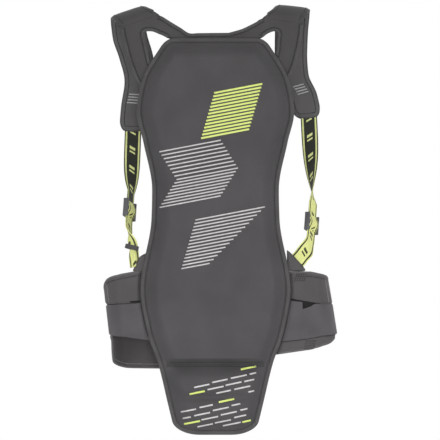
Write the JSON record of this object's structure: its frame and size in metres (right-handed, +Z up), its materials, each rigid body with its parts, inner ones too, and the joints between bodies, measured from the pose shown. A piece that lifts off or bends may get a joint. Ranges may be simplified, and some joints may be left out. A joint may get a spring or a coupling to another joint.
{
  "type": "back protector",
  "caption": "Soft back protector: long foam panel with a flexing tail, padded shoulder straps with ladder-lock webbing, and a wrap-round waist belt with elastic bands.",
  "frame": {"origin": "middle of the back on the panel's body-side face, 350 mm above the tail's lower edge, where the wearer's back meets the liner", "axes": "+Z up the spine, +Y towards the wearer, +X to the right as the outer face is seen"},
  "size_m": [0.3538, 0.1386, 0.6463],
  "materials": {
    "cover": "smooth dark-grey stretch laminate, matt",
    "trim": "woven binding tape and hook-and-loop, matt",
    "elastic": "knitted elastic, matt",
    "liner": "air mesh, matt",
    "foam": "soft impact foam, matt",
    "webbing_face": "woven webbing, dark face with lime lines",
    "webbing_lime": "woven webbing, lime reverse",
    "buckle": "moulded, satin"
  },
  "bodies": {
    "panel": {"left_anchor_tab": "trim", "left_band_root": "elastic", "left_keeper": "trim", "left_lower_webbing": "webbing_lime", "left_strap_binding": "trim", "left_strap_pad": "cover", "left_upper_webbing": "webbing_face", "left_wing_root": "cover", "main_binding": "trim", "main_core": "foam", "main_cover": "cover", "main_liner": "liner", "neck_binding": "trim", "right_anchor_tab": "trim", "right_band_root": "elastic", "right_lower_webbing": "webbing_lime", "right_strap_binding": "trim", "right_strap_pad": "cover", "right_upper_webbing": "webbing_face", "right_wing_root": "cover", "yoke": "cover"},
    "tail": {"tail_binding": "trim", "tail_core": "foam", "tail_cover": "cover", "tail_liner": "liner"},
    "left_wing": {"left_closure_hook": "trim", "left_wing": "cover", "left_wing_binding": "trim"},
    "right_wing": {"right_closure_loop": "trim", "right_wing": "cover", "right_wing_binding": "trim"},
    "left_band": {"left_band": "elastic", "left_band_hook": "trim"},
    "right_band": {"right_band": "elastic", "right_band_hook": "trim"},
    "left_buckle": {"left_buckle": "buckle"},
    "right_buckle": {"right_buckle": "buckle"}
  },
  "joints": [
    {"name": "tail_flex", "type": "hinge", "parent": "panel", "child": "tail", "pos_m": [0, -0.00075, -0.243], "axis": [1, 0, 0], "range_deg": [-20, 20]},
    {"name": "left_wing_open", "type": "hinge", "parent": "panel", "child": "left_wing", "pos_m": [-0.128, -0.0081, -0.207], "axis": [0, 0, 1], "range_deg": [0, 75]},
    {"name": "right_wing_open", "type": "hinge", "parent": "panel", "child": "right_wing", "pos_m": [0.142, -0.0081, -0.207], "axis": [0, 0, -1], "range_deg": [0, 75]},
    {"name": "left_band_peel", "type": "hinge", "parent": "left_wing", "child": "left_band", "pos_m": [-0.128, -0.0081, -0.207], "axis": [0, 0, 1], "range_deg": [0, 40]},
    {"name": "right_band_peel", "type": "hinge", "parent": "right_wing", "child": "right_band", "pos_m": [0.142, -0.0081, -0.207], "axis": [0, 0, -1], "range_deg": [0, 40]},
    {"name": "left_buckle_slide", "type": "slide", "parent": "panel", "child": "left_buckle", "axis": [0.0628, 0.3048, 0.9503], "range_m": [-0.01, 0.01]},
    {"name": "right_buckle_slide", "type": "slide", "parent": "panel", "child": "right_buckle", "axis": [0.0718, 0.2793, 0.9575], "range_m": [-0.01, 0.01]}
  ],
  "couplings": [
    {"joint": "right_wing_open", "follows": "left_wing_open", "ratio": 1}
  ]
}
